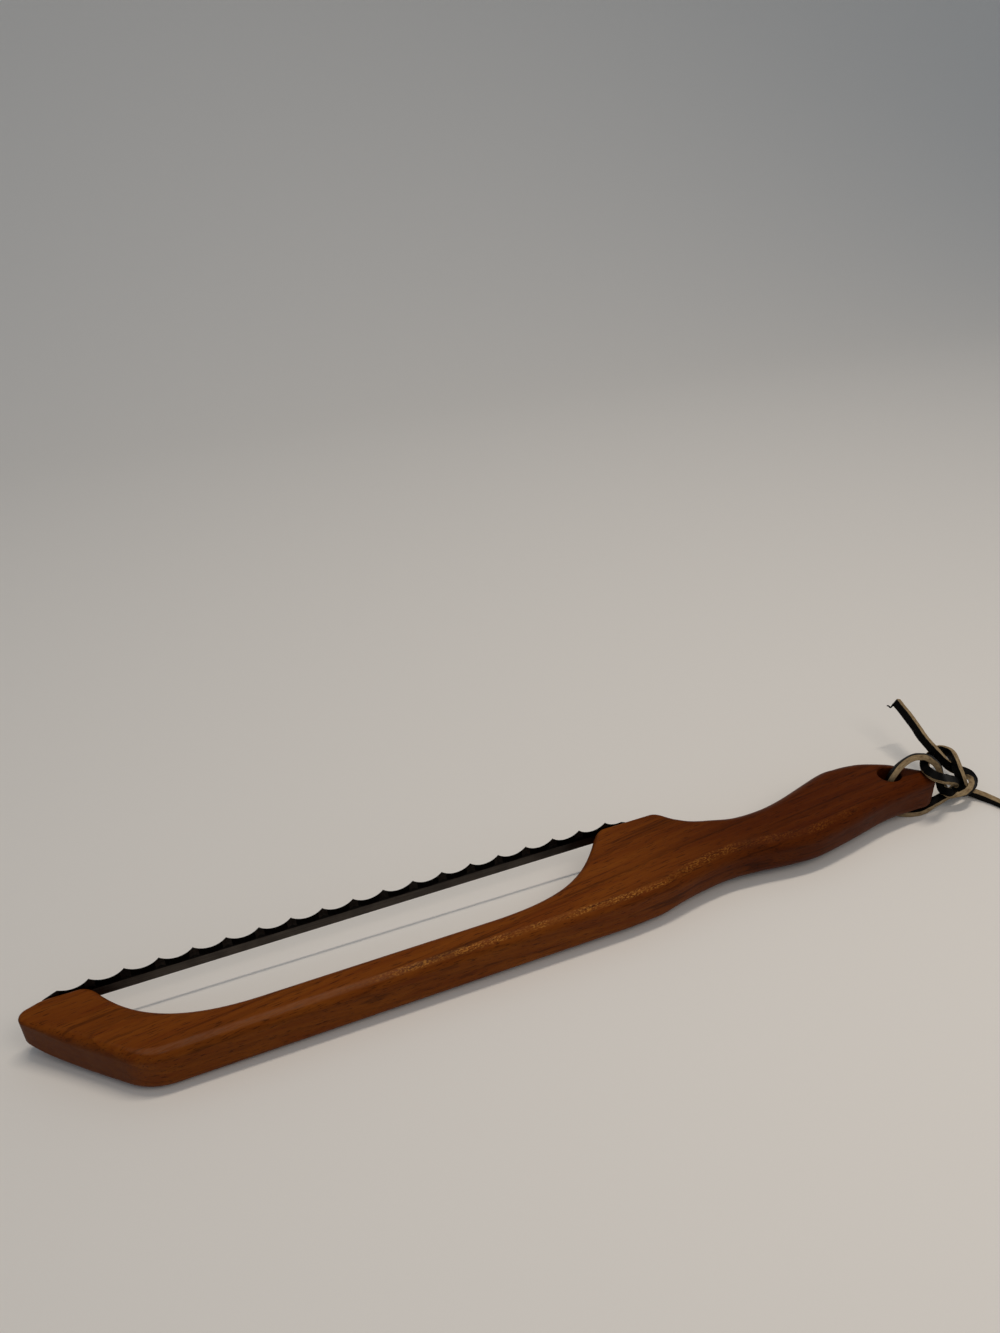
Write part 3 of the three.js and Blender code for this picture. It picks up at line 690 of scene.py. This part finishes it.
    body = addNode(material, "ShaderNodeValToRGB",
                   {"stops": [(0.32, linear(c["deep"])), (0.68, linear(c["light"]))]},
                   {"Fac": drawnOut["streak"]})
    layers = body.outputs["Color"]
    for share, colour in ((lateWood, "line"), (darkVeins, "line"), (openPores, "line"),
                          (endGrain, "endGrain"), (paintedSheen, "paintedSheen"), (paintedGlints, "fleck")):
        layers = addNode(material, "ShaderNodeMix", {"data_type": "RGBA", 7: linear(c[colour])},
                         {0: share.outputs[0], 6: layers}).outputs[2]
    # darker and redder toward the handle: partly the wood's own tone, partly painted shade where less
    # light falls
    toHandle = addNode(material, "ShaderNodeMapRange", {**eased, "From Min": 0.02, "From Max": 0.11},
                       {"Value": along.outputs["X"]})
    toneAndShade = addNode(material, "ShaderNodeMix",
                   {"data_type": "RGBA", 6: linear(c["front"]), 7: linear(c["rear"])},
                   {0: toHandle.outputs["Result"]})
    colour = addNode(material, "ShaderNodeMix", {"data_type": "RGBA", "blend_type": "MULTIPLY", 0: 1.0},
                     {6: layers, 7: toneAndShade.outputs[2]})

    sanding = addNode(material, "ShaderNodeTexNoise", {"Scale": 1000 / c["sandingSize"], "Detail": 2.0},
                      {"Vector": place})
    dull = addNode(material, "ShaderNodeMapRange", {"To Min": 0.34, "To Max": 0.52},
                   {"Value": sanding.outputs["Fac"]})
    handWork = addNode(material, "ShaderNodeBump", {"Strength": 1.0, "Distance": 0.25 * mm},
                       {"Height": sanding.outputs["Fac"]})
    fleckRelief = addNode(material, "ShaderNodeBump", {"Strength": 0.6, "Distance": 0.05 * mm},
                          {"Height": drawnOut["fleck"], "Normal": handWork.outputs["Normal"]})
    poreRelief = addNode(material, "ShaderNodeBump",
                         {"Strength": 0.6, "Distance": 0.08 * mm, "invert": True},
                         {"Height": openPores.outputs["Result"], "Normal": fleckRelief.outputs["Normal"]})
    connect(material, shader, {"Base Color": colour.outputs[2], "Roughness": dull.outputs["Result"],
                               "Normal": poreRelief.outputs["Normal"]})
    shader.inputs["IOR"].default_value = 1.47
    shader.inputs["Specular IOR Level"].default_value = 0.05
    return material


cherryWood = oiledCherrySanded(cherry)
verts, faces = roundedBoard(*boardOutline(board), board["thickness"], board["roundSteps"])
lean = Vector((0, 0, 1)).rotation_difference(boardUp).to_matrix()
lowest = min((lean @ (v - holeAt)).z for v in verts) * mm
seat = holeFoot + boardUp * ((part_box("bow_frame")[0].z - lowest) / boardUp.z)  # the hole's lower end
onBoard = Matrix.Translation(seat) @ lean.to_4x4() @ Matrix.Scale(mm, 4) @ Matrix.Translation(-holeAt)

bowFrame = newPiece("cherryBow", verts, faces, cherryWood)
holeForm = turnedForm(holeProfile(board), board["holeSides"], holeAt)
cutAway(bowFrame, [newPiece("holeCutter", *holeForm, cherryWood)])
relieveNose(bowFrame, board)
bowFrame.data.transform(onBoard)
smoothShade(bowFrame, sharpAngle=35)
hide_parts("bow_frame")
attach(bowFrame, "knife")
print("bow shaped:", len(bowFrame.data.vertices), "points")

# Blade: a strip on edge, scalloped and ground on the side of the bar (mm)
blade = {
    "length": 244, "overhang": 17, "width": 9.5, "thickness": 0.6, "proud": 1.8, "pitch": 12.7,
    "gullet": 2.6, "bevel": 2.6, "groundBand": 5.2, "facet": 1.7, "clipLength": 8.3, "clipDrop": 3.7,
    "backBreak": 0.12, "seatGap": 0.3, "columnsPerTooth": 28,
    "leastBand": 0.02, "leastColumn": 0.2,  # the second is a share of a column, at the blade's ends
    "facetShare": 0.62,  # how much the small facets at the tips look ground
}


def bladeForm(b, boardThickness):
    tip = boardThickness + b["proud"]
    back = tip - b["width"]
    radius = (b["pitch"]**2 / 4 + b["gullet"]**2) / (2 * b["gullet"])
    centre = tip - b["gullet"] + radius
    near, far = b["seatGap"], b["seatGap"] + b["thickness"]
    step = b["pitch"] / b["columnsPerTooth"]
    first, last = -b["overhang"], b["length"] - b["overhang"]
    columns = range(math.ceil(first / step + b["leastColumn"]),
                    math.floor(last / step - b["leastColumn"]) + 1)
    places = [first, *(k * step for k in columns), last]
    verts, ground = [], []
    for x in places:
        across = (x / b["pitch"]) % 1 * b["pitch"] - b["pitch"] / 2
        foot = centre - math.sqrt((radius + b["bevel"])**2 - across**2)
        edge = centre - math.sqrt(radius**2 - across**2)
        clip = 1 - min(x - first, last - x) / b["clipLength"]
        edge = min(edge, tip - b["clipDrop"] * clip)  # clipped corners
        section = [
            (near + b["backBreak"], back), (far - b["backBreak"], back), (far, back + b["backBreak"]),
            (far, edge), (near, foot), (near, min(tip - b["groundBand"], foot - b["leastBand"])),
            (near, back + b["backBreak"])]
        verts += [Vector((x, y, z)) for y, z in section]
    hollow, band = 3, 4  # the sides of the section that are ground
    for a, c in zip(places, places[1:]):
        middle = (a + c) / 2 / b["pitch"]
        fromTip = abs(middle - round(middle)) * b["pitch"]
        shares = [0.0] * len(section)
        shares[hollow] = b["facetShare"] if fromTip < b["facet"] else 1.0
        shares[band] = 1.0
        ground += shares
    return verts, ringFaces(len(places), len(section)), ground + [0.0, 0.0]


# Blued spring steel, rolled to a strip and its scallops ground: a brown black skin with faint lines
# along the strip, and darker hollows that catch the light only in thin lines
bluedSteel = {
    "skin": "#3e3935", "skinWorn": "#5a544e", "groundSteel": "#0b0908", "groundBright": "#17130f",
    "rollLine": 0.5, "rollLength": 40,  # mm, drawn coarser than real rolling lines, which wouldn't show
    "grindLine": 0.35, "grindLength": 4.375,  # mm, likewise
    "wornPatch": 9,  # mm
}


def bluedSpringSteelGround(s):
    material, shader = newMaterial("bluedSpringSteelGround")
    place = addNode(material, "ShaderNodeTexCoord").outputs["Object"]
    isGround = addNode(material, "ShaderNodeAttribute", {"attribute_name": "ground"}).outputs["Fac"]
    alongRoll = addNode(material, "ShaderNodeMapping",
                        {"Scale": (s["rollLine"] / s["rollLength"], 1, 1)}, {"Vector": place})
    rolled = addNode(material, "ShaderNodeTexNoise", {"Scale": 1000 / s["rollLine"], "Detail": 3.0},
                     {"Vector": alongRoll.outputs["Vector"]})
    drawn = s["grindLine"] / s["grindLength"]
    acrossEdge = addNode(material, "ShaderNodeMapping", {"Scale": (1, drawn, drawn)}, {"Vector": place})
    grinding = addNode(material, "ShaderNodeTexNoise", {"Scale": 1000 / s["grindLine"], "Detail": 2.0},
                       {"Vector": acrossEdge.outputs["Vector"]})
    patches = addNode(material, "ShaderNodeTexNoise", {"Scale": 1000 / s["wornPatch"], "Detail": 4.0},
                      {"Vector": place})
    worn = addNode(material, "ShaderNodeMath", {"operation": "MULTIPLY"},
                   {0: rolled.outputs["Fac"], 1: patches.outputs["Fac"]})
    skin = addNode(material, "ShaderNodeValToRGB",
                   {"stops": [(0.16, linear(s["skin"])), (0.42, linear(s["skinWorn"]))]},
                   {"Fac": worn.outputs["Value"]})
    hollow = addNode(material, "ShaderNodeValToRGB",
                     {"stops": [(0.45, linear(s["groundSteel"])), (0.8, linear(s["groundBright"]))]},
                     {"Fac": grinding.outputs["Fac"]})
    colour = addNode(material, "ShaderNodeMix", {"data_type": "RGBA"},
                     {0: isGround, 6: skin.outputs["Color"], 7: hollow.outputs["Color"]})
    lines = addNode(material, "ShaderNodeMix", {},
                    {0: isGround, 2: rolled.outputs["Fac"], 3: grinding.outputs["Fac"]})
    dull = addNode(material, "ShaderNodeMapRange",
                   {"From Min": 0.3, "From Max": 0.7, "To Min": 0.34, "To Max": 0.55},
                   {"Value": lines.outputs[0]})
    bump = addNode(material, "ShaderNodeBump", {"Strength": 0.35, "Distance": 0.02 * mm},
                   {"Height": lines.outputs[0]})
    connect(material, shader, {"Base Color": colour.outputs[2], "Roughness": dull.outputs["Result"],
                               "Normal": bump.outputs["Normal"]})
    shader.inputs["Metallic"].default_value = 1.0
    return material


verts, faces, ground = bladeForm(blade, board["thickness"])
scallopedBlade = newPiece("scallopedBlade", verts, faces, bluedSpringSteelGround(bluedSteel))
scallopedBlade.data.attributes.new("ground", "FLOAT", "FACE").data.foreach_set("value", ground)
scallopedBlade.data.transform(onBoard)
smoothShade(scallopedBlade, sharpAngle=12)
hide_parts("scalloped_blade")
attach(scallopedBlade, "knife")
print("blade ground:", len(scallopedBlade.data.vertices), "points")

# Blade screws: domed heads with a cross drive, on the far side (mm)
screw = {
    "shank": 2.9, "length": 15, "tip": 4, "head": 5.8, "headHeight": 1.9, "inset": 7.5, "aboveBack": 2.6,
    "driveWidth": 0.9, "driveLength": 3.6, "driveDepth": 1.0, "rim": 0.15, "point": 0.05, "sides": 64,
    "driveFoot": 0.62, "driveMouth": 1.35, "domeStart": 0.3,  # shares of the drive and of the head
}


def screwForm(s):
    shank, head = s["shank"] / 2, s["head"] / 2
    profile = [(s["point"], -s["length"]), (shank, s["tip"] - s["length"]), (shank, 0),
               (head - s["rim"], 0), (head, s["rim"])]
    for k in range(13):
        turn = math.pi / 2 * k / 12
        dome = s["headHeight"] * (s["domeStart"] + (1 - s["domeStart"]) * math.sin(turn))
        profile.append((max(head * math.cos(turn), s["point"]), dome))
    return turnedForm(profile, s["sides"], Vector())


def driveForm(s, turned):  # one bar of the cross, narrower at its foot
    verts = []
    for depth, share in ((s["driveDepth"], s["driveFoot"]), (-s["driveDepth"], s["driveMouth"])):
        for x, y in ((-1, -1), (1, -1), (1, 1), (-1, 1)):
            half = (s["driveLength"] / 2 * x * share, s["driveWidth"] / 2 * y * (0.5 + share / 2))
            verts.append(Vector((*(half[::-1] if turned else half), s["headHeight"] - depth)))
    faces = [(3, 2, 1, 0), (4, 5, 6, 7), (0, 1, 5, 4), (1, 2, 6, 5), (2, 3, 7, 6), (3, 0, 4, 7)]
    return verts, [face[::-1] for face in faces] if turned else faces


# Zinc plated steel, cold headed: pale grey with a cool soft shine, dulled in patches by handling
zinc = {"plate": "#a3a09a", "dulled": "#6b675f", "patch": 1.6, "turning": 0.3}  # mm


def zincPlatedColdHeaded(z):
    material, shader = newMaterial("zincPlatedColdHeaded")
    place = addNode(material, "ShaderNodeTexCoord").outputs["Object"]
    patches = addNode(material, "ShaderNodeTexNoise", {"Scale": 1000 / z["patch"], "Detail": 5.0},
                      {"Vector": place})
    fine = addNode(material, "ShaderNodeTexNoise", {"Scale": 1000 / z["turning"], "Detail": 2.0},
                   {"Vector": place})
    colour = addNode(material, "ShaderNodeValToRGB",
                     {"stops": [(0.34, linear(z["dulled"])), (0.62, linear(z["plate"]))]},
                     {"Fac": patches.outputs["Fac"]})
    dull = addNode(material, "ShaderNodeMapRange",
                   {"From Min": 0.3, "From Max": 0.7, "To Min": 0.46, "To Max": 0.28},
                   {"Value": patches.outputs["Fac"]})
    bump = addNode(material, "ShaderNodeBump", {"Strength": 0.3, "Distance": 0.02 * mm},
                   {"Height": fine.outputs["Fac"]})
    connect(material, shader, {"Base Color": colour.outputs["Color"],
                               "Roughness": dull.outputs["Result"], "Normal": bump.outputs["Normal"]})
    shader.inputs["Metallic"].default_value = 1.0
    return material


zincSteel = zincPlatedColdHeaded(zinc)
screwSeat = 2 * blade["seatGap"] + blade["thickness"]
screwHeight = board["thickness"] + blade["proud"] - blade["width"] + screw["aboveBack"]
for node, along in (("front_blade_screw", screw["inset"]),
                    ("rear_blade_screw", blade["length"] - screw["inset"])):
    piece = newPiece(node.replace("_blade_screw", "Screw"), *screwForm(screw), zincSteel)
    cutAway(piece, [newPiece("drive", *driveForm(screw, turned), zincSteel) for turned in (False, True)])
    outwards = Matrix.Rotation(math.radians(-90), 4, "X")  # the head faces away from the bar
    piece.data.transform(
        onBoard @ Matrix.Translation((along - blade["overhang"], screwSeat, screwHeight)) @ outwards)
    smoothShade(piece, sharpAngle=40)
    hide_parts(node)
    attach(piece, "knife")
print("screws set")

# Studio: a pale floor that sweeps up behind, a long strip light overhead and a softer one in front
studio = {
    "floor": "#e6e2dc", "floorTooth": 1.2,  # mm
    "frontEdge": -4.0, "sweepStart": 0.75, "sweepRadius": 0.7, "wallHeight": 1.6, "halfWidth": 4.0,
    "mainPlace": (0.28, 0.17, 2.0), "mainAim": (0.28, -0.05, 0), "mainSpread": 100,  # degrees
    "mainLength": 0.95, "mainWidth": 0.13, "mainPower": 4.2, "mainColour": "#fff3e4",
    "sidePlace": (0.18, -0.43, 0.65), "sideSize": 0.4, "sidePower": 1.0, "sideColour": "#fff2e4",
    "sky": "#e0eaf6", "skyStrength": 0.34,
}


def paperSweepMatt(s):  # matt paper: an even pale ground with a faint tooth and no shine
    material, shader = newMaterial("paperSweepMatt")
    place = addNode(material, "ShaderNodeTexCoord").outputs["Object"]
    tooth = addNode(material, "ShaderNodeTexNoise", {"Scale": 1000 / s["floorTooth"], "Detail": 3.0},
                    {"Vector": place})
    bump = addNode(material, "ShaderNodeBump", {"Strength": 0.1, "Distance": 0.05 * mm},
                   {"Height": tooth.outputs["Fac"]})
    connect(material, shader, {"Normal": bump.outputs["Normal"]})
    shader.inputs["Base Color"].default_value = linear(s["floor"])
    shader.inputs["Roughness"].default_value = 0.8
    shader.inputs["Specular IOR Level"].default_value = 0.2
    return material


def addFloor(s):
    profile, steps = [(s["frontEdge"], 0.0), (s["sweepStart"], 0.0)], 24
    for k in range(1, steps + 1):
        turn = math.pi / 2 * k / steps
        profile.append((s["sweepStart"] + s["sweepRadius"] * math.sin(turn),
                        s["sweepRadius"] * (1 - math.cos(turn))))
    profile.append((profile[-1][0], s["wallHeight"]))
    verts = [Vector((x, y, z)) for y, z in profile for x in (-s["halfWidth"], s["halfWidth"])]
    faces = [(2 * k, 2 * k + 1, 2 * k + 3, 2 * k + 2) for k in range(len(profile) - 1)]
    floor = newPiece("paperSweep", verts, faces, paperSweepMatt(s))
    floor.data.shade_smooth()


def addLight(name, place, aim, settings):
    data = bpy.data.lights.new(name, "AREA")
    for key, value in settings.items():
        setattr(data, key, value)
    light = bpy.data.objects.new(name, data)
    scene.collection.objects.link(light)
    light.location = place
    light.rotation_euler = (Vector(aim) - Vector(place)).to_track_quat("-Z", "Y").to_euler()


addFloor(studio)
addLight("mainLight", studio["mainPlace"], studio["mainAim"],
         {"shape": "RECTANGLE", "size": studio["mainLength"], "size_y": studio["mainWidth"],
          "spread": math.radians(studio["mainSpread"]), "energy": studio["mainPower"],
          "color": linear(studio["mainColour"])[:3]})
addLight("sideLight", studio["sidePlace"], (0, 0, 0),
         {"shape": "DISK", "size": studio["sideSize"], "energy": studio["sidePower"],
          "color": linear(studio["sideColour"])[:3]})
world = bpy.data.worlds.new("studioSky")
world.use_nodes = True
world.node_tree.nodes["Background"].inputs["Color"].default_value = linear(studio["sky"])
world.node_tree.nodes["Background"].inputs["Strength"].default_value = studio["skyStrength"]
scene.world = world
print("studio lit")
